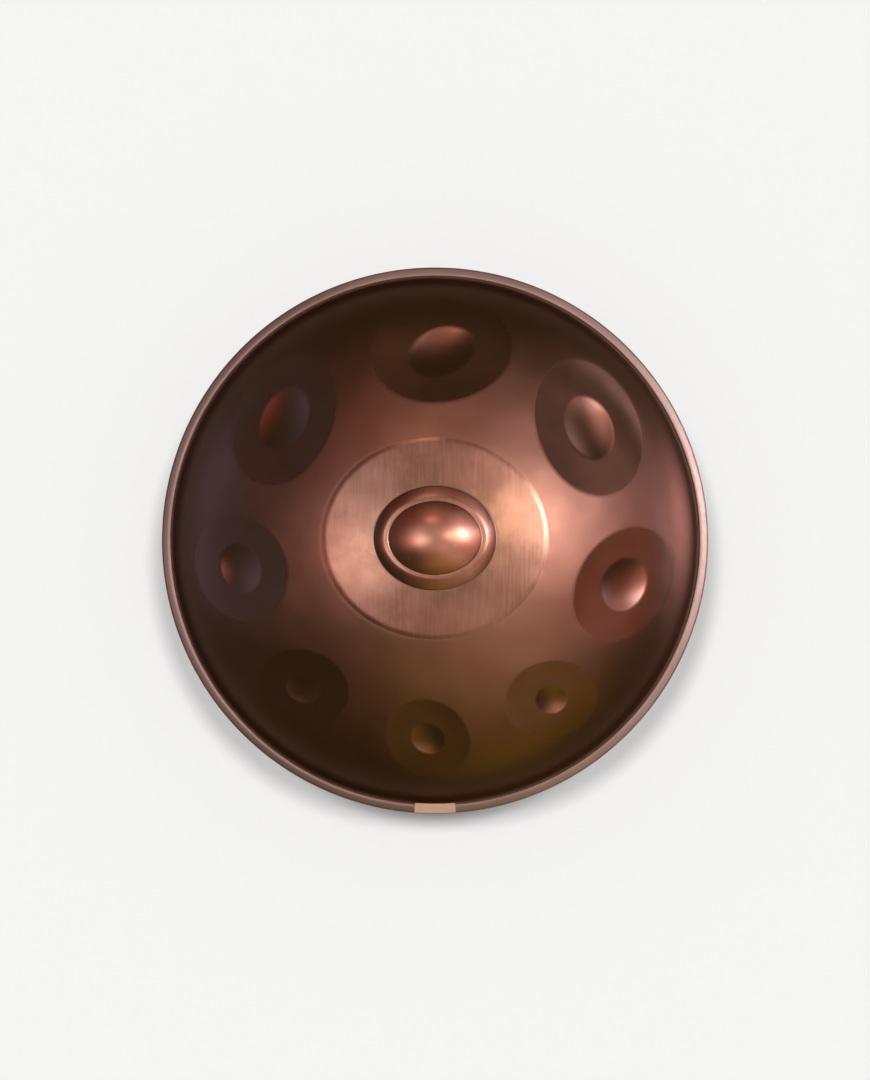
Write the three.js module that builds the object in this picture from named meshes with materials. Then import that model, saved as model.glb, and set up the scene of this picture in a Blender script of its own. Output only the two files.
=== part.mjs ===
// A handpan: a steel hand drum made of two deep-drawn shells, joined flange to flange.
// Millimetres, +Z up. The drum lies on its lower shell, the central dome points up, and
// z = 0 is the surface that it rests on, under the middle of the drum.
import * as THREE from 'three';
import { mergeVertices } from 'three/addons/utils/BufferGeometryUtils.js';

// ---- Driving dimensions ----------------------------------------------------------------

const OUTER_RADIUS = 265; // over the rim band
const SEAM_Z = 120; // middle of the seam between the flanges
const SHEET = 1.2; // thickness of both shells
const GAP = 0.3; // clearance that touching pieces keep
const SEGMENTS = 72; // round every turned piece

const FLANGE_RADIUS = 261.5;
const FLANGE_INNER_RADIUS = 256; // where the flat flange ends and the shell begins to rise
const SEAL_THICKNESS = 1.0; // glue between the flanges
const SEAL_WIDTH = 5.5;

const DOME_RADIUS = 252; // where the dome meets the flange's plane
const DOME_FLATNESS = 0.72; // share of the dome that is a paraboloid, the rest is its steep wall
const WALL_POWER = 12; // the higher, the later and steeper the wall falls
const FILLET = 8; // height over which the wall turns into the flange
const TOP_HEIGHT = 106; // plain dome above the upper flange
const BASE_RING_RADIUS = 66; // outer edge of the flat ring that the drum stands on
const PORT_ROLL_RADIUS = 58; // where the base ring starts to roll into the port's neck
const PORT_RADIUS = 50; // clear radius of the port
const NECK_TOP_Z = 26; // how far the neck reaches into the drum

const BAND_INNER_RADIUS = 256.6;
const BAND_WALL = 0.8;
const BAND_HALF_HEIGHT = 3.4;

const PLATE_THICKNESS = 0.7;
const PLATE_INNER_RADIUS = 255.2;
const PLATE_OUTER_RADIUS = 264.2;
const PLATE_HALF_LENGTH = 20;

// The ding: a central note with a raised dome on a shoulder ring, all of them ellipses.
const DING = {
  membrane: [107, 95],
  flattening: 4.5, // how far the membrane's middle lies below the plain dome
  edgeStep: 0.45, // how far the membrane stands up at its edge
  edgeWidth: 0.07, // width of that step, as a share of the membrane's size
  shoulder: [57, 48.5],
  shoulderHeight: 2.8,
  shoulderPower: 1.3, // the higher, the later the shoulder falls away
  landShare: 1.09, // outer edge of the level land round the dome, as a share of the dome
  dome: [43.5, 34.5],
  domeHeight: 8,
};

// The ring of tone fields: place of the middle (distance from the axis, and angle from +X),
// half-axes and tilt of the flattened ellipse, and the same for the dimple in its middle.
const TONE_FIELDS = [
  { at: [178, 88], size: [68, 50], tilt: 10, dimple: [32.5, 23], dimpleTilt: 22 },
  { at: [180, 36], size: [68, 50], tilt: 110, dimple: [31.5, 22.5], dimpleTilt: 112 },
  { at: [184, -13.5], size: [59, 44], tilt: 55, dimple: [26, 21.5], dimpleTilt: 57 },
  { at: [187.5, -54], size: [45, 37], tilt: 8, dimple: [15, 13.5], dimpleTilt: 8 },
  { at: [189, -92], size: [41.5, 36.5], tilt: -33, dimple: [16.5, 14], dimpleTilt: -30 },
  { at: [188, -131.5], size: [44, 36], tilt: -15, dimple: [17, 14.5], dimpleTilt: -15 },
  { at: [186.5, 188.5], size: [51.5, 44], tilt: 120, dimple: [24, 19.5], dimpleTilt: 110 },
  { at: [183, 141.5], size: [67, 47], tilt: 68, dimple: [31.5, 22], dimpleTilt: 64 },
];
const FIELD_FLATTENING = 0.0023; // depth under the dome, per mm of the short half-axis squared
const DIMPLE_DEPTH = 0.16; // depth per mm of the dimple's short half-axis

// ---- Shape of the shells ---------------------------------------------------------------

const radians = THREE.MathUtils.degToRad;
const smoothstep = THREE.MathUtils.smoothstep;

// Height of a plain shell above its own flange, at a distance from the axis.
function domeHeight(radius, height) {
  const share = radius / DOME_RADIUS;
  const wall = (1 - DOME_FLATNESS) * share ** WALL_POWER;
  const dome = height * (1 - DOME_FLATNESS * share ** 2 - wall);
  const blend = Math.max(FILLET - Math.abs(dome), 0) / FILLET;
  return Math.max(dome, 0) + (blend ** 2 * FILLET) / 4;
}

// 0 in the middle of an ellipse and 1 on its edge.
function ellipseShare(x, y, [centreX, centreY], [long, short], tilt) {
  const cos = Math.cos(radians(tilt));
  const sin = Math.sin(radians(tilt));
  const along = (x - centreX) * cos + (y - centreY) * sin;
  const across = (y - centreY) * cos - (x - centreX) * sin;
  return Math.hypot(along / long, across / short);
}

// 1 in the middle of an ellipse, falling to 0 at its edge, and 0 outside.
const bowl = (share) => Math.max(1 - share ** 2, 0);

function fieldCentre({ at: [distance, angle] }) {
  return [distance * Math.cos(radians(angle)), distance * Math.sin(radians(angle))];
}

// 0 on the ding's dome and the level land round it, growing to 1 at the shoulder's edge.
function shoulderShare(x, y) {
  const beyondLand = ellipseShare(x, y, [0, 0], DING.dome, 0) - DING.landShare;
  const withinShoulder = 1 - ellipseShare(x, y, [0, 0], DING.shoulder, 0);
  const passed = Math.max(beyondLand, 0) * DING.dome[1];
  const ahead = Math.max(withinShoulder, 0) * DING.shoulder[1];
  return passed / (passed + ahead);
}

// Height of the upper shell's outer face above its flange.
function topHeight(x, y) {
  const ding = (size) => ellipseShare(x, y, [0, 0], size, 0);
  let z = domeHeight(Math.hypot(x, y), TOP_HEIGHT);
  const membrane = ding(DING.membrane);
  z -= DING.flattening * bowl(membrane);
  z += DING.edgeStep * (1 - smoothstep(membrane, 1 - DING.edgeWidth, 1));
  z += DING.shoulderHeight * (1 - shoulderShare(x, y) ** DING.shoulderPower);
  z += DING.domeHeight * bowl(ding(DING.dome));
  for (const field of TONE_FIELDS) {
    const centre = fieldCentre(field);
    const flattening = FIELD_FLATTENING * field.size[1] ** 2;
    z -= flattening * bowl(ellipseShare(x, y, centre, field.size, field.tilt));
    const depth = DIMPLE_DEPTH * field.dimple[1];
    z -= depth * bowl(ellipseShare(x, y, centre, field.dimple, field.dimpleTilt));
  }
  return z;
}

// Unit normal of the upper shell's outer face.
function topNormal(x, y) {
  const step = 0.5;
  const slopeX = (topHeight(x + step, y) - topHeight(x - step, y)) / (2 * step);
  const slopeY = (topHeight(x, y + step) - topHeight(x, y - step)) / (2 * step);
  return new THREE.Vector3(-slopeX, -slopeY, 1).normalize();
}

// ---- Mesh helpers ----------------------------------------------------------------------

// A closed ring of points on an ellipse, at a share of its size.
function ellipseRing([centreX, centreY], [long, short], tilt, share, count) {
  const ring = [];
  for (let i = 0; i < count; i += 1) {
    const angle = (2 * Math.PI * i) / count;
    const along = share * long * Math.cos(angle);
    const across = share * short * Math.sin(angle);
    const cos = Math.cos(radians(tilt));
    const sin = Math.sin(radians(tilt));
    ring.push([centreX + along * cos - across * sin, centreY + along * sin + across * cos]);
  }
  return ring;
}

function circumcircle(a, b, c) {
  const [bx, by] = [b[0] - a[0], b[1] - a[1]];
  const [cx, cy] = [c[0] - a[0], c[1] - a[1]];
  const twiceArea = 2 * (bx * cy - by * cx);
  const x = (cy * (bx * bx + by * by) - by * (cx * cx + cy * cy)) / twiceArea;
  const y = (bx * (cx * cx + cy * cy) - cx * (bx * bx + by * by)) / twiceArea;
  return { x: a[0] + x, y: a[1] + y, squared: x * x + y * y };
}

// Delaunay triangles of points in plan, counter-clockwise (Bowyer-Watson).
function triangulate(points) {
  const far = 50 * OUTER_RADIUS;
  const all = [...points, [-far, -far], [far, -far], [0, far]];
  const make = (i, j, k) => ({ corners: [i, j, k], circle: circumcircle(all[i], all[j], all[k]) });
  const first = points.length;
  let triangles = [make(first, first + 1, first + 2)];
  points.forEach(([x, y], index) => {
    const open = new Map(); // edges of the hole that the new point makes
    triangles = triangles.filter(({ corners, circle }) => {
      if ((x - circle.x) ** 2 + (y - circle.y) ** 2 >= circle.squared) return true;
      corners.forEach((from, side) => {
        const to = corners[(side + 1) % 3];
        if (!open.delete(`${to},${from}`)) open.set(`${from},${to}`, [from, to]);
      });
      return false;
    });
    for (const [from, to] of open.values()) triangles.push(make(from, to, index));
  });
  return triangles.map(({ corners }) => corners).filter((c) => c.every((i) => i < first));
}

// A closed sheet-metal solid: an upper face, the lower face at the sheet's thickness along the
// normals, and a strip round the outer ring, which is the last ringCount points.
function sheetSolid(plan, triangles, ringCount, height, normal) {
  const upper = plan.map(([x, y]) => new THREE.Vector3(x, y, height(x, y)));
  const lower = plan.map(([x, y], i) => upper[i].clone().addScaledVector(normal(x, y), -SHEET));
  const indices = [];
  const count = plan.length;
  for (const [a, b, c] of triangles) indices.push(a, b, c, count + c, count + b, count + a);
  for (let i = 0; i < ringCount; i += 1) {
    const here = count - ringCount + i;
    const next = count - ringCount + ((i + 1) % ringCount);
    indices.push(here, count + here, count + next, here, count + next, next);
  }
  const geometry = new THREE.BufferGeometry().setFromPoints([...upper, ...lower]);
  geometry.setIndex(indices);
  return geometry;
}

// A piece turned about Z from a closed outline of [radius, z] points.
function turned(outline) {
  const profile = [...outline, outline[0]].map(([radius, z]) => new THREE.Vector2(radius, z));
  const geometry = new THREE.LatheGeometry(profile, SEGMENTS);
  geometry.rotateX(Math.PI / 2); // LatheGeometry turns about Y
  geometry.deleteAttribute('normal');
  geometry.deleteAttribute('uv');
  return mergeVertices(geometry, 1e-4);
}

// The same path moved sideways by a distance, to its left.
function offsetPath(path, distance) {
  return path.map(([radius, z], i) => {
    const [r0, z0] = path[Math.max(i - 1, 0)];
    const [r1, z1] = path[Math.min(i + 1, path.length - 1)];
    const length = Math.hypot(r1 - r0, z1 - z0);
    return [radius - (distance * (z1 - z0)) / length, z + (distance * (r1 - r0)) / length];
  });
}

// ---- The pieces ------------------------------------------------------------------------

// Points in plan for the upper shell: rings on every edge of the ding and of the tone fields,
// rings on the plain dome where none of those is, and rings on the wall and flange.
function topPlan() {
  const points = [[0, 0]];
  const addRing = (centre, size, tilt, share, count) => {
    points.push(...ellipseRing(centre, size, tilt, share, count));
  };
  addRing([0, 0], DING.dome, 0, 0.35, 10);
  addRing([0, 0], DING.dome, 0, 0.7, 18);
  addRing([0, 0], DING.dome, 0, 1, 28);
  addRing([0, 0], DING.dome, 0, DING.landShare, 28);
  addRing([0, 0], DING.shoulder, 0, 1, 32);
  addRing([0, 0], DING.membrane, 0, 0.77, 28);
  addRing([0, 0], DING.membrane, 0, 1 - DING.edgeWidth, 40);
  addRing([0, 0], DING.membrane, 0, 1, 40);
  for (const field of TONE_FIELDS) {
    const centre = fieldCentre(field);
    points.push(centre);
    addRing(centre, field.dimple, field.dimpleTilt, 0.55, 8);
    addRing(centre, field.dimple, field.dimpleTilt, 1, 18);
    addRing(centre, field.size, field.tilt, 0.8, 20);
    addRing(centre, field.size, field.tilt, 1, 28);
  }
  const margin = 1.12; // plain dome points stay this far outside every ellipse
  const isPlain = ([x, y]) => {
    const clearOfDing = ellipseShare(x, y, [0, 0], DING.membrane, 0) > margin;
    return clearOfDing && TONE_FIELDS.every(
      (field) => ellipseShare(x, y, fieldCentre(field), field.size, field.tilt) > margin,
    );
  };
  for (const radius of [122, 138, 156, 175, 194, 211, 225]) {
    const count = Math.round((2 * Math.PI * radius) / 16);
    points.push(...ellipseRing([0, 0], [radius, radius], radius, 1, count).filter(isPlain));
  }
  // Four points on one circle have no single triangulation, so every point so far moves a hair.
  points.forEach((point, i) => {
    point[0] += 0.002 * Math.sin(3 * i);
    point[1] += 0.002 * Math.cos(5 * i);
  });
  for (const radius of [236, 244, 249.5, 253, FLANGE_INNER_RADIUS, FLANGE_RADIUS]) {
    points.push(...ellipseRing([0, 0], [radius, radius], 0, 1, SEGMENTS));
  }
  return points;
}

function topShell() {
  const plan = topPlan();
  const geometry = sheetSolid(plan, triangulate(plan), SEGMENTS, topHeight, topNormal);
  return geometry.translate(0, 0, SEAM_Z + SEAL_THICKNESS / 2 + GAP + SHEET);
}

function bottomShell() {
  const flangeUnderside = SEAM_Z - SEAL_THICKNESS / 2 - GAP - SHEET;
  const atBaseRing = 1 - DOME_FLATNESS * (BASE_RING_RADIUS / DOME_RADIUS) ** 2;
  const depth = flangeUnderside / atBaseRing; // so that the dome meets the base ring at z = 0
  const path = [[PORT_RADIUS, NECK_TOP_Z]];
  const rollRadius = PORT_ROLL_RADIUS - PORT_RADIUS;
  for (let i = 0; i <= 4; i += 1) {
    const angle = (i / 4) * (Math.PI / 2);
    path.push([
      PORT_ROLL_RADIUS - rollRadius * Math.cos(angle),
      rollRadius - rollRadius * Math.sin(angle),
    ]);
  }
  path.push([BASE_RING_RADIUS, 0]);
  for (const radius of [95, 125, 155, 180, 202, 220, 234, 244, 249.5, 253]) {
    path.push([radius, flangeUnderside - domeHeight(radius, depth)]);
  }
  path.push([FLANGE_INNER_RADIUS, flangeUnderside], [FLANGE_RADIUS, flangeUnderside]);
  return turned([...path, ...offsetPath(path, SHEET).reverse()]);
}

// The hardened glue that fills the seam between the two flanges.
function glueSeam() {
  const outer = FLANGE_RADIUS - 0.5;
  const inner = outer - SEAL_WIDTH;
  const low = SEAM_Z - SEAL_THICKNESS / 2;
  const high = SEAM_Z + SEAL_THICKNESS / 2;
  return turned([[inner, low], [outer, low], [outer, high], [inner, high]]);
}

// A U-shaped metal band that clasps both flanges all round, its outer side rounded.
function rimBand() {
  const upperOutside = [
    [OUTER_RADIUS, 0.8],
    [OUTER_RADIUS - 0.4, 1.8],
    [OUTER_RADIUS - 2, BAND_HALF_HEIGHT - 0.5],
    [OUTER_RADIUS - 5.5, BAND_HALF_HEIGHT],
    [BAND_INNER_RADIUS, BAND_HALF_HEIGHT],
  ];
  const upperInside = offsetPath(upperOutside, BAND_WALL).reverse();
  const upperHalf = [...upperOutside, ...upperInside];
  const lowerHalf = upperHalf.map(([radius, z]) => [radius, -z]).reverse();
  return turned([...upperHalf, ...lowerHalf].map(([radius, z]) => [radius, SEAM_Z + z]));
}

// A blank plate on the rim band, on the -Y side, bent to follow the rim.
function makersPlate() {
  const middle = -Math.PI / 2;
  const half = PLATE_HALF_LENGTH / OUTER_RADIUS;
  const shape = new THREE.Shape();
  shape.absarc(0, 0, PLATE_OUTER_RADIUS, middle - half, middle + half, false);
  shape.absarc(0, 0, PLATE_INNER_RADIUS, middle + half, middle - half, true);
  const geometry = new THREE.ExtrudeGeometry(shape, {
    depth: PLATE_THICKNESS,
    bevelEnabled: false,
    curveSegments: 8,
  });
  return geometry.translate(0, 0, SEAM_Z + BAND_HALF_HEIGHT + GAP);
}

// ---- Assembly --------------------------------------------------------------------------

const bronzedSteel = { color: 0x8c5a3e, roughness: 0.32, metalness: 1 };
const pieces = {
  top_shell: [topShell(), bronzedSteel],
  bottom_shell: [bottomShell(), bronzedSteel],
  glue_seam: [glueSeam(), { color: 0x2b2623, roughness: 0.6, metalness: 0 }],
  rim_band: [rimBand(), { color: 0xb58a78, roughness: 0.28, metalness: 1 }],
  makers_plate: [makersPlate(), { color: 0xd39a6c, roughness: 0.3, metalness: 1 }],
};

const handpan = new THREE.Group();
for (const [name, [geometry, finish]] of Object.entries(pieces)) {
  const mesh = new THREE.Mesh(geometry, new THREE.MeshStandardMaterial(finish));
  mesh.name = name;
  handpan.add(mesh);
}

export default handpan;
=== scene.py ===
"""Visual model of the handpan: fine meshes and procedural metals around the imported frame."""

import math

import bpy
import numpy as np
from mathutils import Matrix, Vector
from mathutils.geometry import delaunay_2d_cdt
from mathutils.kdtree import KDTree


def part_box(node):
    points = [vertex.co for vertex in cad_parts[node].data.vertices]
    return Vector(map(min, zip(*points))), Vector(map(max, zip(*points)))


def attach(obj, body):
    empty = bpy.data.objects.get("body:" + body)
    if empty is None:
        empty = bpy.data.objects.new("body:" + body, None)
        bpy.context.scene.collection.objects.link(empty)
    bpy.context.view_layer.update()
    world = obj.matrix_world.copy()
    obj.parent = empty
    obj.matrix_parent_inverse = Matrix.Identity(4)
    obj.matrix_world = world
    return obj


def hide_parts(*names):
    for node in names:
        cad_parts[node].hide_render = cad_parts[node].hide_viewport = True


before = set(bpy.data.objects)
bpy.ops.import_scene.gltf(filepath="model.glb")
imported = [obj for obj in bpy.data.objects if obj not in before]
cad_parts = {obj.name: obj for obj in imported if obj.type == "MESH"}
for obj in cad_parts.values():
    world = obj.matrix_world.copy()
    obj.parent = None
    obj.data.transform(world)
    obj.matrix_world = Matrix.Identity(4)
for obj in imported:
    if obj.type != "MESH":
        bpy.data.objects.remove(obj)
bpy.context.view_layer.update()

# ---- Sizes, in metres -------------------------------------------------------------------

MM = 0.001
OUTER_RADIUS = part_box("rim_band")[1][0]
SHEET = 1.2 * MM
FLANGE_TOP_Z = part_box("top_shell")[0][2] + SHEET
FLANGE_UNDERSIDE_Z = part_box("bottom_shell")[1][2] - SHEET
SEAM_Z = (FLANGE_TOP_Z + FLANGE_UNDERSIDE_Z) / 2
BAND_TOP_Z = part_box("rim_band")[1][2]
FLANGE_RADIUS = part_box("top_shell")[1][0]
FLANGE_INNER_RADIUS = 256 * MM
BAND_INNER_RADIUS = 256.6 * MM
BAND_WALL = 0.8 * MM
BAND_CROWN_DROP = 0.5  # share of its height that the band loses on its way out
BAND_CROWN_POWER = 1.1  # the higher, the later it loses it
BAND_EDGE_POWER = 20  # the higher, the sharper its outer edge

DOME_RADIUS = 252 * MM
DOME_FLATNESS = 0.72  # share of the dome that is a paraboloid, the rest is its steep wall
WALL_POWER = 12
WALL_START_RADIUS = 236 * MM  # beyond this the dome is steep, and the meshes are finer
FILLET = 8 * MM
TOP_HEIGHT = 106 * MM
BASE_RING_RADIUS = 66 * MM
PORT_ROLL_RADIUS = 58 * MM
PORT_RADIUS = 50 * MM
NECK_TOP_Z = 26 * MM

DING_MEMBRANE = (107 * MM, 95 * MM)
DING_FLATTENING = 4.5 * MM
DING_EDGE_STEP = 0.38 * MM  # how far the membrane stands up at its edge
DING_EDGE_WIDTH = 0.055
DING_SHOULDER = (57 * MM, 48.5 * MM)
DING_SHOULDER_HEIGHT = 2.8 * MM
DING_SHOULDER_POWER = 1.3  # the higher, the later the shoulder falls away
DING_LAND_SHARE = 1.09  # outer edge of the level land round the dome, as a share of the dome
DING_DOME = (43.5 * MM, 34.5 * MM)
DING_DOME_HEIGHT = 8 * MM
DOME_GROOVE = (1.0, 0.013, 0.3 * MM)  # hammered line round the dome: share, width, depth
SHOULDER_GROOVE = (1.008, 0.009, 0.2 * MM)

# Tone fields: distance from the axis, angle from +X, half-axes and tilt of the flattened
# ellipse, half-axes and tilt of its dimple. Millimetres and degrees, as in the frame.
TONE_FIELDS = [
    (178, 88, (68, 50), 10, (32.5, 23), 22),
    (180, 36, (68, 50), 110, (31.5, 22.5), 112),
    (184, -13.5, (59, 44), 55, (26, 21.5), 57),
    (187.5, -54, (45, 37), 8, (15, 13.5), 8),
    (189, -92, (41.5, 36.5), -33, (16.5, 14), -30),
    (188, -131.5, (44, 36), -15, (17, 14.5), -15),
    (186.5, 188.5, (51.5, 44), 120, (24, 19.5), 110),
    (183, 141.5, (67, 47), 68, (31.5, 22), 64),
]
FIELD_FLATTENING = 0.0023 / MM  # depth under the dome, per short half-axis squared
DIMPLE_DEPTH = 0.16  # depth per short half-axis

DING_CREASE = 0.012  # half-width of a rounded edge, as a share of the ellipse
FIELD_CREASE = 0.02
DIMPLE_CREASE = 0.04

# Faint waves that hammering leaves: direction in degrees, wavelength and height.
HAMMER_WAVES = [
    (17, 47 * MM, 0.05 * MM),
    (74, 39 * MM, 0.04 * MM),
    (128, 53 * MM, 0.05 * MM),
    (161, 31 * MM, 0.025 * MM),
    (39, 24 * MM, 0.012 * MM),
    (103, 19 * MM, 0.008 * MM),
]
HAMMER_FADE = (5 * MM, 30 * MM)  # heights above the flange between which the waves set in
EDGE_WEAR = 1.2 * MM  # half-width of the worn line along an edge
RIM_SHADE_START = 247 * MM  # where the painted shade along the band starts: darker colour in the crease that the band's lip shades
SHOULDER_POLISH = 0.25  # how polished the ding's shoulder is, where its dome is 1

# ---- Mesh spacing -----------------------------------------------------------------------

SEGMENTS = 360  # round every turned piece
OUTER_FACE_SPACING = 2.6 * MM  # between the upper shell's points
INNER_FACE_SPACING = 7 * MM
WALL_SPACING = 1.3 * MM
FLANGE_RINGS = [FLANGE_INNER_RADIUS, 258 * MM, FLANGE_RADIUS]
# Where rings of points lie close together, as shares of each ellipse.
DOME_RINGS = [*np.linspace(0.96, 1.04, 17), 1.06, 1.08, 1.1, 1.12, 1.15]
SHOULDER_RINGS = [0.90, 0.93, 0.95, *np.linspace(0.97, 1.04, 15)]
MEMBRANE_RINGS = [0.90, 0.93, *np.linspace(0.95, 1.03, 17)]
FIELD_RINGS = [0.90, 0.95, 0.975, 0.99, 1.0, 1.01, 1.025, 1.05]
DIMPLE_RINGS = [0.9, 0.94, 0.97, 1.0, 1.03, 1.06, 1.1]
CLEAR_OF_SHOULDER = 0.58  # share of the membrane beyond the shoulder's rings
CLEAR_OF_DIMPLE = 1.15  # share of a dimple beyond its rings
CLEAR_OF_EDGE = 1.07  # share of a membrane or field beyond its rings
PLAIN_START_RADIUS = 90 * MM  # rings round the axis start here, inside the membrane's edge


# ---- Shape of the shells ----------------------------------------------------------------


def smooth_max(a, b, blend):
    """The greater of a and b, rounded where they differ by less than blend."""
    near = np.maximum(blend - np.abs(a - b), 0) / blend
    return np.maximum(a, b) + near**2 * blend / 4


def dome_height(radius, height):
    """Height of a plain shell above its own flange."""
    share = radius / DOME_RADIUS
    wall = (1 - DOME_FLATNESS) * share**WALL_POWER
    return smooth_max(height * (1 - DOME_FLATNESS * share**2 - wall), 0, FILLET)


def ellipse_share(x, y, centre, size, tilt=0):
    """0 in the middle of an ellipse and 1 on its edge."""
    cos, sin = math.cos(math.radians(tilt)), math.sin(math.radians(tilt))
    along = (x - centre[0]) * cos + (y - centre[1]) * sin
    across = (y - centre[1]) * cos - (x - centre[0]) * sin
    return np.hypot(along / size[0], across / size[1])


def bowl(share, crease):
    """1 in the middle of an ellipse, falling to 0 at its rounded edge."""
    return smooth_max(1 - share**2, 0, 4 * crease)


def groove(share, shape):
    """How far a fine groove round an ellipse cuts in."""
    middle, width, depth = shape
    return depth * np.exp(-(((share - middle) / width) ** 2))


def smoothstep(value, low, high):
    t = np.clip((value - low) / (high - low), 0, 1)
    return t * t * (3 - 2 * t)


def fields():
    """Each tone field's centre, size and tilt, and its dimple's size and tilt, in metres."""
    for distance, angle, size, tilt, dimple, dimple_tilt in TONE_FIELDS:
        turn = math.radians(angle)
        centre = (distance * MM * math.cos(turn), distance * MM * math.sin(turn))
        size, dimple = (tuple(MM * side for side in pair) for pair in (size, dimple))
        yield centre, size, tilt, dimple, dimple_tilt


def hammer_marks(x, y):
    total = np.zeros_like(x)
    for angle, wavelength, height in HAMMER_WAVES:
        turn = math.radians(angle)
        along = x * math.cos(turn) + y * math.sin(turn)
        total += height * np.sin(2 * math.pi * along / wavelength + angle)
    return total


def shoulder_share(x, y):
    """0 on the ding's dome and the level land round it, growing to 1 at the shoulder's edge."""
    beyond_land = ellipse_share(x, y, (0, 0), DING_DOME) - DING_LAND_SHARE
    within_shoulder = 1 - ellipse_share(x, y, (0, 0), DING_SHOULDER)
    passed = np.maximum(beyond_land, 0) * DING_DOME[1]
    ahead = np.maximum(within_shoulder, 0) * DING_SHOULDER[1]
    return passed / (passed + ahead)


def top_height(x, y):
    """Height of the upper shell's outer face above its flange."""
    z = dome_height(np.hypot(x, y), TOP_HEIGHT)
    z = z + hammer_marks(x, y) * smoothstep(z, *HAMMER_FADE)
    membrane = ellipse_share(x, y, (0, 0), DING_MEMBRANE)
    shoulder = ellipse_share(x, y, (0, 0), DING_SHOULDER)
    dome = ellipse_share(x, y, (0, 0), DING_DOME)
    z -= DING_FLATTENING * bowl(membrane, DING_CREASE)
    z += DING_EDGE_STEP * (1 - smoothstep(membrane, 1 - DING_EDGE_WIDTH, 1))
    z += DING_SHOULDER_HEIGHT * (1 - shoulder_share(x, y) ** DING_SHOULDER_POWER)
    z += DING_DOME_HEIGHT * bowl(dome, DING_CREASE)
    z -= groove(dome, DOME_GROOVE) + groove(shoulder, SHOULDER_GROOVE)
    for centre, size, tilt, dimple, dimple_tilt in fields():
        flattening = FIELD_FLATTENING * size[1] ** 2
        z -= flattening * bowl(ellipse_share(x, y, centre, size, tilt), FIELD_CREASE)
        depth = DIMPLE_DEPTH * dimple[1]
        z -= depth * bowl(ellipse_share(x, y, centre, dimple, dimple_tilt), DIMPLE_CREASE)
    return z


def top_normals(x, y):
    step = 0.1 * MM
    slope_x = (top_height(x + step, y) - top_height(x - step, y)) / (2 * step)
    slope_y = (top_height(x, y + step) - top_height(x, y - step)) / (2 * step)
    normals = np.stack([-slope_x, -slope_y, np.ones_like(x)], axis=1)
    return normals / np.linalg.norm(normals, axis=1, keepdims=True)


def surface_masks(x, y):
    """Shares from 0 to 1: ding's membrane, its dome, tone fields, worn edges, painted shade by the
    band.
    """
    ding = 1 - smoothstep(ellipse_share(x, y, (0, 0), DING_MEMBRANE), 0.985, 1.0)
    shoulder = 1 - smoothstep(ellipse_share(x, y, (0, 0), DING_SHOULDER), 0.98, 1.02)
    dome = 1 - smoothstep(ellipse_share(x, y, (0, 0), DING_DOME), 1.0, 1.06)
    field = np.zeros_like(x)
    edge = np.zeros_like(x)
    ellipses = [((0, 0), DING_SHOULDER, 0), ((0, 0), DING_DOME, 0)]
    for centre, size, tilt, dimple, dimple_tilt in fields():
        inside = 1 - smoothstep(ellipse_share(x, y, centre, size, tilt), 0.97, 1.01)
        field = np.maximum(field, inside)
        ellipses.append((centre, dimple, dimple_tilt))
    for centre, size, tilt in ellipses:
        away = (ellipse_share(x, y, centre, size, tilt) - 1) * size[1] / EDGE_WEAR
        edge = np.maximum(edge, np.exp(-(away**2)))
    polish = np.maximum(dome, SHOULDER_POLISH * shoulder)
    # painted shade: darker towards the band, in the crease that its lip shades
    rim_shade = smoothstep(np.hypot(x, y), RIM_SHADE_START, DOME_RADIUS)
    return {"ding": ding, "polish": polish, "field": field, "edge": edge, "rim_shade": rim_shade}


# ---- Mesh helpers -----------------------------------------------------------------------


def add_object(name, vertices, faces, material):
    mesh = bpy.data.meshes.new(name)
    mesh.from_pydata([tuple(v) for v in vertices], [], faces)
    mesh.validate()
    mesh.shade_smooth()
    mesh.materials.append(material)
    obj = bpy.data.objects.new(name, mesh)
    bpy.context.scene.collection.objects.link(obj)
    return obj


def ellipse_ring(centre, size, tilt, share, count):
    turn = np.linspace(0, 2 * math.pi, count, endpoint=False)
    cos, sin = math.cos(math.radians(tilt)), math.sin(math.radians(tilt))
    along, across = share * size[0] * np.cos(turn), share * size[1] * np.sin(turn)
    x = centre[0] + along * cos - across * sin
    y = centre[1] + along * sin + across * cos
    return np.stack([x, y], axis=1)


def ring_count(size, spacing):
    """How many points go round an ellipse at this spacing."""
    return int(math.pi * (size[0] + size[1]) / spacing)


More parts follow.
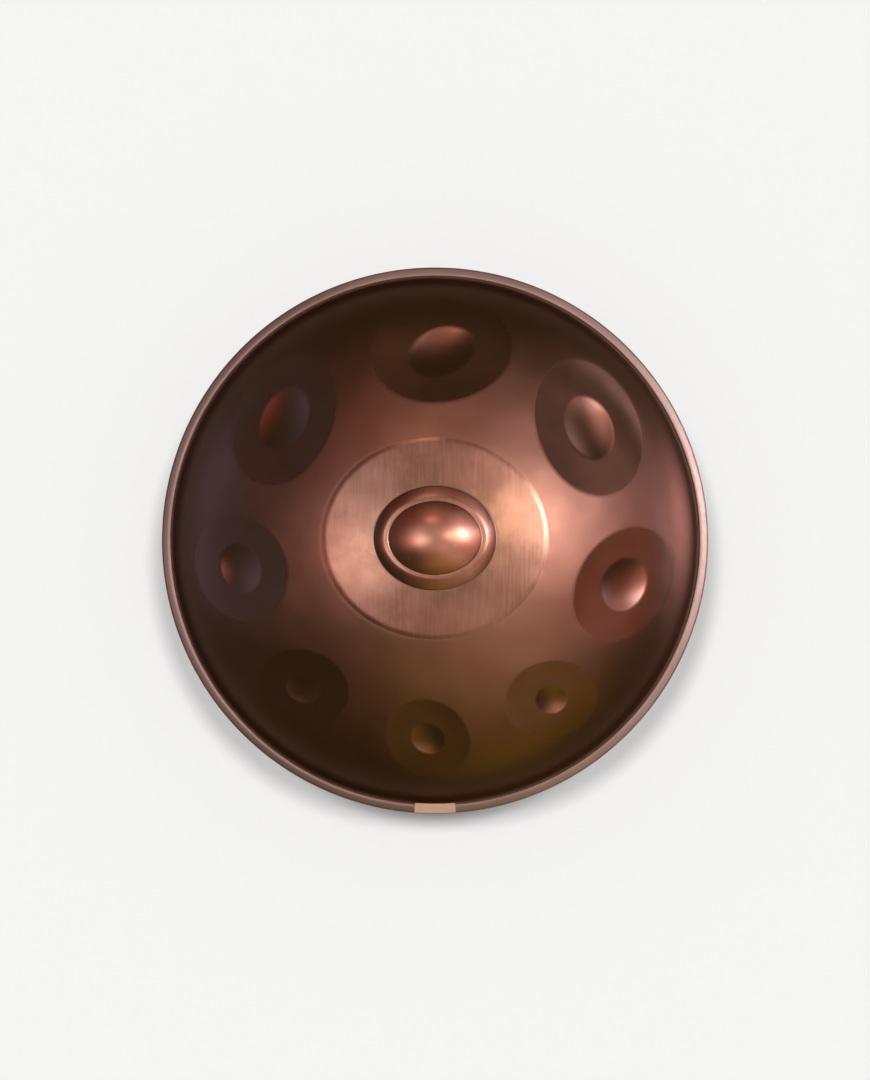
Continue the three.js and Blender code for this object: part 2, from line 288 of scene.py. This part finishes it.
def top_plan(spacing):
    """Points in plan for the upper shell, closest together on the edges of every ellipse."""
    fine = []
    filling = [np.zeros((1, 2))]

    def edge_rings(centre, size, tilt, shares):
        """Rings close together, for the edge of an ellipse."""
        count = ring_count(size, spacing)
        fine.extend(ellipse_ring(centre, size, tilt, share, count) for share in shares)

    def inner_rings(centre, size, tilt, low, high):
        """Rings between two shares of an ellipse, about a spacing apart."""
        steps = max(int((high - low) * size[1] / spacing), 1)
        for share in np.linspace(low, high, steps + 1)[1:-1]:
            count = max(int(ring_count(size, spacing) * share), 6)
            filling.append(ellipse_ring(centre, size, tilt, share, count))

    edge_rings((0, 0), DING_DOME, 0, DOME_RINGS)
    inner_rings((0, 0), DING_DOME, 0, 0, DOME_RINGS[0])
    edge_rings((0, 0), DING_SHOULDER, 0, SHOULDER_RINGS)
    edge_rings((0, 0), DING_MEMBRANE, 0, MEMBRANE_RINGS)
    inner_rings((0, 0), DING_MEMBRANE, 0, CLEAR_OF_SHOULDER, MEMBRANE_RINGS[0])
    for centre, size, tilt, dimple, dimple_tilt in fields():
        filling.append(np.array([centre]))
        edge_rings(centre, dimple, dimple_tilt, DIMPLE_RINGS)
        inner_rings(centre, dimple, dimple_tilt, 0, DIMPLE_RINGS[0])
        edge_rings(centre, size, tilt, FIELD_RINGS)
        dimple_share = CLEAR_OF_DIMPLE * max(dimple[0] / size[0], dimple[1] / size[1])
        inner_rings(centre, size, tilt, dimple_share, FIELD_RINGS[0])
    for radius in np.arange(PLAIN_START_RADIUS, WALL_START_RADIUS, spacing):
        ring = ellipse_ring((0, 0), (radius, radius), 0, 1, ring_count((radius, radius), spacing))
        x, y = ring[:, 0], ring[:, 1]
        plain = ellipse_share(x, y, (0, 0), DING_MEMBRANE) > CLEAR_OF_EDGE
        for centre, size, tilt, _, _ in fields():
            plain &= ellipse_share(x, y, centre, size, tilt) > CLEAR_OF_EDGE
        filling.append(ring[plain])
    least_gap = 0.6 * spacing
    points = [spaced(np.concatenate(fine), np.concatenate(filling), least_gap)]
    wall_radii = np.arange(WALL_START_RADIUS, FLANGE_INNER_RADIUS, WALL_SPACING)
    for radius in [*wall_radii, *FLANGE_RINGS]:
        points.append(ellipse_ring((0, 0), (radius, radius), 0, 1, SEGMENTS))
    return np.concatenate(points)


def spaced(fine, filling, gap):
    """All fine points, and the filling ones that keep a gap to them and to one another."""
    points = np.concatenate([fine, filling])
    tree = KDTree(len(points))
    for index, (x, y) in enumerate(points):
        tree.insert((x, y, 0), index)
    tree.balance()
    keep = np.ones(len(points), bool)
    for index in range(len(fine), len(points)):
        near = [other for _, other, _ in tree.find_range((*points[index], 0), gap)]
        keep[index] = not any(keep[other] for other in near if other < index)
    return points[keep]


def triangles_in_plan(points):
    """Delaunay triangles of points in plan, as indices of the points."""
    flat = [Vector(point) for point in points]
    tolerance = 1e-9
    _, _, faces, sources, _, _ = delaunay_2d_cdt(flat, [], [], 0, tolerance, True)
    order = [indices[0] for indices in sources]
    return [tuple(order[i] for i in face) for face in faces]


def sheet_faces(plan, lower_plan):
    """Faces of both sides of the upper shell, joined round the flange's edge."""
    faces = triangles_in_plan(plan)
    count = len(plan)
    for a, b, c in triangles_in_plan(lower_plan):
        faces.append((count + c, count + b, count + a))
    first_upper, first_lower = count - SEGMENTS, count + len(lower_plan) - SEGMENTS
    for i in range(SEGMENTS):
        j = (i + 1) % SEGMENTS
        faces.append((first_upper + i, first_lower + i, first_lower + j, first_upper + j))
    return faces


def turned(name, outline, material):
    """A closed ring turned about Z from an outline of (radius, z) points."""
    turn = np.linspace(0, 2 * math.pi, SEGMENTS, endpoint=False)
    radius, z = np.array(outline).T
    x, y = np.outer(np.cos(turn), radius), np.outer(np.sin(turn), radius)
    vertices = np.stack([x, y, np.broadcast_to(z, x.shape)], axis=2).reshape(-1, 3)
    count = len(outline)
    faces = []
    for i in range(SEGMENTS):
        here, there = i * count, (i + 1) % SEGMENTS * count
        for j in range(count):
            k = (j + 1) % count
            faces.append((here + j, there + j, there + k, here + k))
    return add_object(name, vertices, faces, material)


def offset_path(path, distance):
    """The same path moved sideways, to its left."""
    path = np.array(path)
    ahead = np.vstack([path[1:], path[-1:]])
    behind = np.vstack([path[:1], path[:-1]])
    along = ahead - behind
    along /= np.linalg.norm(along, axis=1, keepdims=True)
    return path + distance * np.stack([-along[:, 1], along[:, 0]], axis=1)


def arc(centre, radius, start, end, steps):
    """Points on an arc in the (radius, z) plane, angles in degrees."""
    turns = np.radians(np.linspace(start, end, steps + 1))
    return [(centre[0] + radius * math.cos(t), centre[1] + radius * math.sin(t)) for t in turns]


# ---- Materials --------------------------------------------------------------------------


# Base colours. A pair gives both ends of a cloudy or brushed pattern.
PATINA = ((0.37, 0.148, 0.094), (0.46, 0.192, 0.124))
POLISHED_COPPER = ((0.62, 0.24, 0.155), (0.70, 0.29, 0.19))
FRECKLES = (0.34, 0.16, 0.115)
BRUSHED_LINES = (0.60, 0.31, 0.22)
STAINS = (0.26, 0.11, 0.07)
# Painted sheen: lightens the tone fields so that they shine brighter.
FIELD_PAINTED_SHEEN = (0.60, 0.27, 0.18)
RUBBED_EDGES = (0.62, 0.33, 0.23)
# Painted shade for the crease along the band, which its lip shades.
RIM_SHADE_COLOUR = (0.10, 0.055, 0.035)
BAND_METAL = ((0.41, 0.245, 0.20), (0.49, 0.30, 0.25))
PLATE_COPPER = ((0.66, 0.36, 0.22), (0.80, 0.48, 0.31))
GLUE = ((0.02, 0.018, 0.016), (0.05, 0.042, 0.036))
PALE_FLOOR = (0.86, 0.86, 0.85)


class Nodes:
    """Short ways to add and link the shader nodes of a material or a world."""

    def __init__(self, owner, shader="Principled BSDF"):
        self.owner = owner
        owner.use_nodes = True
        self.tree = owner.node_tree
        self.shader = self.tree.nodes[shader]

    def fill(self, socket, value):
        """Link a socket to another node's output, or set it."""
        if isinstance(value, bpy.types.NodeSocket):
            self.tree.links.new(value, socket)
        elif socket.type == "RGBA" and len(value) == 3:
            socket.default_value = (*value, 1)
        else:
            socket.default_value = value

    def shade(self, **values):
        """Fill the shader's own sockets, named with _ for a space, and return the owner."""
        for name, value in values.items():
            self.fill(self.shader.inputs[name.replace("_", " ")], value)
        return self.owner

    def add(self, kind, inputs=None, **settings):
        node = self.tree.nodes.new(kind)
        for key, value in settings.items():
            setattr(node, key, value)
        for key, value in (inputs or {}).items():
            self.fill(node.inputs[key], value)
        return node

    def calculate(self, kind, values, **settings):
        """The result of a node whose enabled sockets take these values in turn."""
        node = self.add(kind, **settings)
        for socket, value in zip([s for s in node.inputs if s.enabled], values):
            self.fill(socket, value)
        return [s for s in node.outputs if s.enabled][0]

    def mix(self, factor, a, b):
        return self.calculate("ShaderNodeMix", (factor, a, b), data_type="RGBA")

    def math(self, operation, *values):
        return self.calculate("ShaderNodeMath", values, operation=operation)

    def vector_math(self, operation, *values):
        return self.calculate("ShaderNodeVectorMath", values, operation=operation)

    def ramp(self, factor, low, high, ends=(0, 1)):
        """A ramp between two greys or colours, from a low to a high factor."""
        node = self.add("ShaderNodeValToRGB", {"Fac": factor})
        for element, place, end in zip(node.color_ramp.elements, (low, high), ends):
            element.position = place
            element.color = (*(end if isinstance(end, tuple) else (end,) * 3), 1)
        return node.outputs["Color"]

    def place(self, stretch=None):
        """Coordinates on the object; a pattern is finest along the greatest stretch."""
        place = self.add("ShaderNodeTexCoord").outputs["Object"]
        if not stretch:
            return place
        inputs = {"Vector": place, "Scale": stretch}
        return self.add("ShaderNodeMapping", inputs).outputs["Vector"]

    def noise(self, vector, scale, detail=4, roughness=0.5):
        inputs = {"Vector": vector, "Scale": scale, "Detail": detail, "Roughness": roughness}
        return self.add("ShaderNodeTexNoise", inputs).outputs["Fac"]

    def bump(self, height, strength, distance):
        inputs = {"Height": height, "Strength": strength, "Distance": distance}
        return self.add("ShaderNodeBump", inputs).outputs["Normal"]


def shell_material():
    """Heat-bronzed steel: patina in soft clouds, a brushed ding, a polished dome, worn edges;
    painted sheen on the tone fields and painted shade along the band.
    """
    nodes = Nodes(bpy.data.materials.new("bronzed_steel"))
    ding, polish, field, edge, rim_shade = (
        nodes.add("ShaderNodeAttribute", attribute_name=name).outputs["Fac"]
        for name in ("ding", "polish", "field", "edge", "rim_shade")
    )
    clouds = nodes.noise(nodes.place(), scale=11, detail=5, roughness=0.6)
    fine = nodes.noise(nodes.place(), scale=70, detail=5, roughness=0.65)
    blotches = nodes.noise(nodes.place(), scale=32, detail=6, roughness=0.7)
    brushed = nodes.noise(nodes.place((520, 26, 60)), scale=1, detail=3, roughness=0.7)
    hairlines = nodes.noise(nodes.place((1300, 45, 200)), scale=1, detail=3, roughness=0.7)
    ding_lines = nodes.math("MULTIPLY", nodes.ramp(brushed, 0.35, 0.65), ding)
    ding_stains = nodes.math("MULTIPLY", nodes.ramp(blotches, 0.48, 0.66), ding)

    colour = nodes.ramp(clouds, 0.32, 0.68, PATINA)
    for mask, strength, over in [
        (fine, 0.35, FRECKLES),
        (ding_lines, 0.25, BRUSHED_LINES),
        (ding_stains, 0.35, STAINS),
        # painted sheen on the tone fields
        (field, 0.25, FIELD_PAINTED_SHEEN),
        (edge, 0.15, RUBBED_EDGES),
        # painted shade along the band
        (rim_shade, 0.8, RIM_SHADE_COLOUR),
    ]:
        colour = nodes.mix(nodes.math("MULTIPLY", mask, strength), colour, over)
    colour = nodes.mix(polish, colour, nodes.ramp(clouds, 0.3, 0.7, POLISHED_COPPER))

    roughness = nodes.ramp(fine, 0.3, 0.7, (0.31, 0.36))
    for mask, change in [
        (field, -0.11),
        (ding, -0.14),
        (ding_lines, 0.03),
        (polish, 0.03),
        (edge, -0.02),
        (rim_shade, 0.2),
    ]:
        roughness = nodes.math("MULTIPLY_ADD", mask, change, roughness)
    relief = nodes.bump(hairlines, strength=0.04, distance=0.01 * MM)
    return nodes.shade(Base_Color=colour, Metallic=1, Roughness=roughness, Normal=relief)


def band_material():
    """Satin metal with a warm cast, scuffed all over."""
    nodes = Nodes(bpy.data.materials.new("satin_band"))
    clouds = nodes.noise(nodes.place(), scale=14)
    scuffs = nodes.noise(nodes.place(), scale=260, detail=3, roughness=0.7)
    colour = nodes.ramp(clouds, 0.3, 0.7, BAND_METAL)
    roughness = nodes.ramp(scuffs, 0.3, 0.7, (0.30, 0.40))
    relief = nodes.bump(scuffs, strength=0.1, distance=0.03 * MM)
    return nodes.shade(Base_Color=colour, Metallic=1, Roughness=roughness, Normal=relief)


def plate_material():
    """Blank copper-coloured plate, brushed along its length."""
    nodes = Nodes(bpy.data.materials.new("blank_copper_plate"))
    brushed = nodes.noise(nodes.place((80, 1500, 1500)), scale=1, detail=3, roughness=0.6)
    colour = nodes.ramp(brushed, 0.3, 0.7, PLATE_COPPER)
    roughness = nodes.ramp(nodes.noise(nodes.place(), scale=400), 0.3, 0.7, (0.28, 0.42))
    relief = nodes.bump(brushed, strength=0.15, distance=0.02 * MM)
    return nodes.shade(Base_Color=colour, Metallic=1, Roughness=roughness, Normal=relief)


def glue_material():
    """Dark hardened glue, lumpy where it was squeezed out."""
    nodes = Nodes(bpy.data.materials.new("hardened_glue"))
    lumps = nodes.noise(nodes.place(), scale=200)
    colour = nodes.ramp(lumps, 0.3, 0.7, GLUE)
    roughness = nodes.ramp(nodes.noise(nodes.place(), scale=90), 0.3, 0.7, (0.45, 0.65))
    relief = nodes.bump(lumps, strength=0.4, distance=0.2 * MM)
    return nodes.shade(Base_Color=colour, Roughness=roughness, Normal=relief)


# ---- Pieces -----------------------------------------------------------------------------


def top_shell(material):
    plan = top_plan(OUTER_FACE_SPACING)
    lower_plan = top_plan(INNER_FACE_SPACING)
    faces = sheet_faces(plan, lower_plan)
    normals = top_normals(*plan.T)
    lower_normals = top_normals(*lower_plan.T)
    upper = np.column_stack([plan, top_height(*plan.T)])
    lower = np.column_stack([lower_plan, top_height(*lower_plan.T)]) - SHEET * lower_normals
    vertices = np.vstack([upper, lower])
    vertices[:, 2] += FLANGE_TOP_Z
    shell = add_object("ding_shell", vertices, faces, material)
    shell.data.normals_split_custom_set_from_vertices(np.vstack([normals, -lower_normals]))
    for name, values in surface_masks(*np.vstack([plan, lower_plan]).T).items():
        mask = shell.data.attributes.new(name, "FLOAT", "POINT")
        mask.data.foreach_set("value", values.astype(np.float32))
    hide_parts("top_shell")
    return shell


def bottom_shell(material):
    at_base_ring = 1 - DOME_FLATNESS * (BASE_RING_RADIUS / DOME_RADIUS) ** 2
    depth = FLANGE_UNDERSIDE_Z / at_base_ring
    roll = PORT_ROLL_RADIUS - PORT_RADIUS
    path = [(PORT_RADIUS, z) for z in np.linspace(NECK_TOP_Z, roll, 6)[:-1]]
    path += arc((PORT_ROLL_RADIUS, roll), roll, 180, 270, 10)
    path += [(radius, 0) for radius in np.linspace(PORT_ROLL_RADIUS, BASE_RING_RADIUS, 5)[1:]]
    bowl_radii = np.linspace(BASE_RING_RADIUS, WALL_START_RADIUS, 44)[1:]
    wall_radii = np.linspace(WALL_START_RADIUS, FLANGE_INNER_RADIUS, 16)[1:]
    for radius in [*bowl_radii, *wall_radii]:
        path.append((radius, FLANGE_UNDERSIDE_Z - dome_height(radius, depth)))
    path += [(FLANGE_RADIUS, FLANGE_UNDERSIDE_Z)]
    outline = [tuple(p) for p in path] + [tuple(p) for p in offset_path(path, SHEET)[::-1]]
    shell = turned("gu_shell", outline, material)
    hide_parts("bottom_shell")
    return shell


def rim_band(material):
    """A U-shaped band with a crowned outside and rounded lips.

    share is 1 at the outer edge, where points lie closest, and 0 at the lip.
    """
    high = BAND_TOP_Z - SEAM_Z
    lip = BAND_WALL / 2
    lip_radius = BAND_INNER_RADIUS + lip
    share = np.cos(np.radians(np.linspace(0, 90, 19))) ** 0.4
    crown_heights = high * (1 - BAND_CROWN_DROP * share**BAND_CROWN_POWER)
    crown_heights *= np.sqrt(1 - share**BAND_EDGE_POWER)
    crown = list(zip(lip_radius + (OUTER_RADIUS - lip_radius) * share, crown_heights))
    lip_half = arc((lip_radius, high - lip), lip, 90, 270, 8)[1:]
    inside = offset_path(crown, BAND_WALL)[::-1]
    inside = [(radius, z) for radius, z in inside if radius > lip_radius + lip and z > 0]
    upper = [*crown, *lip_half, *inside, (OUTER_RADIUS - BAND_WALL, 0)]
    lower = [(radius, -z) for radius, z in reversed(upper[1:-1])]
    band = turned("rim_trim", [(radius, SEAM_Z + z) for radius, z in upper + lower], material)
    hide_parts("rim_band")
    return band


# ---- Light and camera -------------------------------------------------------------------

ROOM = (0.05, 0.055, 0.03)  # the dark room that the drum mirrors
# Azimuth from +X and angle from straight up, half-width, all in degrees, and colour.
GLOWS = [
    (12, 25, 9, (2.7, 3.1, 3.2)),  # large soft light above, to the right
    (12, 38, 9, (1.9, 2.1, 2.7)),  # its lower end
    (20, 15, 5, (2.6, 2.6, 2.1)),  # its upper end
    (13, 31, 3.5, (7, 8, 9)),  # bare lamp inside it
    (187, 14, 7, (2.6, 3.0, 3.2)),  # its twin to the left
    (187, 26, 10, (0.75, 0.45, 0.5)),
    (0, 0, 8, (0.2, 0.3, 0.4)),  # pale ceiling between the two
    (150, 20, 9, (0.5, 0.6, 0.75)),
    (60, 16, 8, (0.5, 0.45, 0.55)),
    (105, 17, 9, (0.4, 0.4, 0.4)),
    (240, 16, 9, (0.35, 0.27, 0.3)),
    (300, 16, 9, (0.7, 0.65, 0.7)),
    (45, 38, 12, (0.75, 0.65, 0.8)),  # upper walls, paler to the right than at the back
    (90, 36, 12, (0.4, 0.26, 0.28)),
    (135, 36, 12, (0.15, 0.0, 0.0)),
    (97, 30, 3, (3.0, 2.6, 1.9)),  # small lamp at the back
    (310, 36, 14, (0.6, 0.6, 0.55)),
    (345, 38, 10, (0.5, 0.25, 0.3)),
    (270, 38, 12, (0.26, 0.22, 0.05)),
    (350, 58, 14, (0.2, 0.08, 0.06)),
    (295, 65, 20, (0.13, 0.10, 0.0)),  # olive wall at the front
    (290, 82, 14, (0.1, 0.14, 0.0)),
    (12, 60, 9, (0.6, 0.5, 0.6)),  # window to the right
    (5, 82, 11, (0.9, 1.0, 1.4)),
    (36, 82, 11, (0.6, 0.65, 0.85)),
    (5, 108, 12, (1.6, 1.4, 1.7)),
    (170, 82, 25, (0.12, 0.18, 0.34)),  # bluish wall to the left
    (0, 180, 34, (1.0, 0.97, 0.93)),  # pale floor under the drum
]
# Azimuth and angle from straight up of its middle, half-angles across and up, softness of its
# edge, all in degrees, and colour.
PANELS = [
    (11, 30, 10, 2.5, 1.5, (4.5, 4.7, 5.0)),  # tube across the large light
]
BACKDROP = (0.85, 0.85, 0.85)  # what the camera sees beyond the floor
FILL = (0.22, 0.22, 0.22)  # light from all round on the floor
# Name, energy, softness in degrees and direction towards the light; the floor's light only.
SUNS = [
    ("floor_light_above", 0.3, 8, (0, 0, 1)),
    ("floor_light_left", 1.25, 10, (-0.18, 0.18, 1)),
    ("floor_light_right", 1.25, 10, (0.18, 0.18, 1)),
]


CAMERA_LENS = 85  # millimetres
CAMERA_DISTANCE = 2.475  # metres from the middle of the rim
CAMERA_LEAN = 1.0  # degrees from straight above, towards the maker's plate
FLOOR_HALF_SIDE = 25  # metres


def direction(azimuth, zenith):
    """Unit vector from an azimuth from +X and an angle from straight up, in degrees."""
    turn, tilt = math.radians(azimuth), math.radians(zenith)
    out = math.sin(tilt)
    return Vector((out * math.cos(turn), out * math.sin(turn), math.cos(tilt)))


def light_and_camera():
    scene = bpy.context.scene
    scene.view_settings.view_transform = "Standard"
    camera_data = bpy.data.cameras.new("camera")
    camera_data.lens = CAMERA_LENS
    camera = bpy.data.objects.new("camera", camera_data)
    scene.collection.objects.link(camera)
    scene.camera = camera
    lean = math.radians(CAMERA_LEAN)
    away = Vector((0, -math.sin(lean), math.cos(lean)))
    camera.location = Vector((0, 0, SEAM_Z)) + CAMERA_DISTANCE * away
    camera.rotation_euler = away.to_track_quat("Z", "Y").to_euler()

    for name, energy, softness, towards in SUNS:
        sun_data = bpy.data.lights.new(name, "SUN")
        sun_data.energy = energy
        sun_data.angle = math.radians(softness)
        sun = bpy.data.objects.new(name, sun_data)
        scene.collection.objects.link(sun)
        sun.rotation_euler = Vector(towards).to_track_quat("Z", "Y").to_euler()
        sun.visible_glossy = False
    studio_floor(scene)
    studio_world(scene)


def studio_floor(scene):
    mesh = bpy.data.meshes.new("floor")
    side = FLOOR_HALF_SIDE
    corners = [(-side, -side, 0), (side, -side, 0), (side, side, 0), (-side, side, 0)]
    mesh.from_pydata(corners, [], [(0, 1, 2, 3)])
    floor = bpy.data.objects.new("floor", mesh)
    scene.collection.objects.link(floor)
    nodes = Nodes(bpy.data.materials.new("pale_floor"))
    mesh.materials.append(nodes.shade(Base_Color=PALE_FLOOR, Roughness=0.9))
    floor.visible_glossy = False


def glow(nodes, outward, azimuth, zenith, width, colour):
    """A soft round light, given as in GLOWS."""
    along = nodes.vector_math("DOT_PRODUCT", outward, direction(azimuth, zenith))
    sharpness = 1 / (1 - math.cos(math.radians(width)))
    fall_off = nodes.math("MULTIPLY", nodes.math("SUBTRACT", along, 1), sharpness)
    return nodes.vector_math("SCALE", colour, nodes.math("EXPONENT", fall_off))


def panel(nodes, outward, azimuth, zenith, wide, tall, soft, colour):
    """A soft box, given as in PANELS."""
    middle = direction(azimuth, zenith)
    across = direction(azimuth + 90, 90)
    softness = math.tan(math.radians(soft))
    ahead = nodes.vector_math("DOT_PRODUCT", outward, middle)
    strength = nodes.math("GREATER_THAN", ahead, 0)
    for side, half in ((across, wide), (across.cross(middle), tall)):
        aside = nodes.vector_math("DOT_PRODUCT", outward, side)
        offset = nodes.math("ABSOLUTE", nodes.math("DIVIDE", aside, ahead))
        within = nodes.math("SUBTRACT", math.tan(math.radians(half)), offset)
        limits = {"Value": within, "From Min": -softness, "From Max": softness}
        ramp = nodes.add("ShaderNodeMapRange", limits, interpolation_type="SMOOTHSTEP")
        strength = nodes.math("MULTIPLY", strength, ramp.outputs["Result"])
    return nodes.vector_math("SCALE", colour, strength)


def studio_world(scene):
    """Pale for the camera, dim for the floor, and a dark room with soft lights for mirroring."""
    scene.world = bpy.data.worlds.new("studio")
    nodes = Nodes(scene.world, "Background")
    outward = nodes.add("ShaderNodeTexCoord").outputs["Generated"]
    room = ROOM
    for light in GLOWS:
        room = nodes.vector_math("ADD", room, glow(nodes, outward, *light))
    for light in PANELS:
        room = nodes.vector_math("ADD", room, panel(nodes, outward, *light))
    ray = nodes.add("ShaderNodeLightPath").outputs
    shown = nodes.mix(ray["Is Camera Ray"], FILL, BACKDROP)
    nodes.shade(Color=nodes.mix(ray["Is Glossy Ray"], shown, room))


# ---- Assembly ---------------------------------------------------------------------------


def build():
    steel = shell_material()
    for piece, slot in [
        (top_shell(steel), "shell_steel"),
        (bottom_shell(steel), "shell_steel"),
        (rim_band(band_material()), "band_metal"),
    ]:
        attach(piece, "root")
    bpy.data.objects["glue_seam"].material_slots[0].material = glue_material()
    bpy.data.objects["makers_plate"].material_slots[0].material = plate_material()
    light_and_camera()


build()
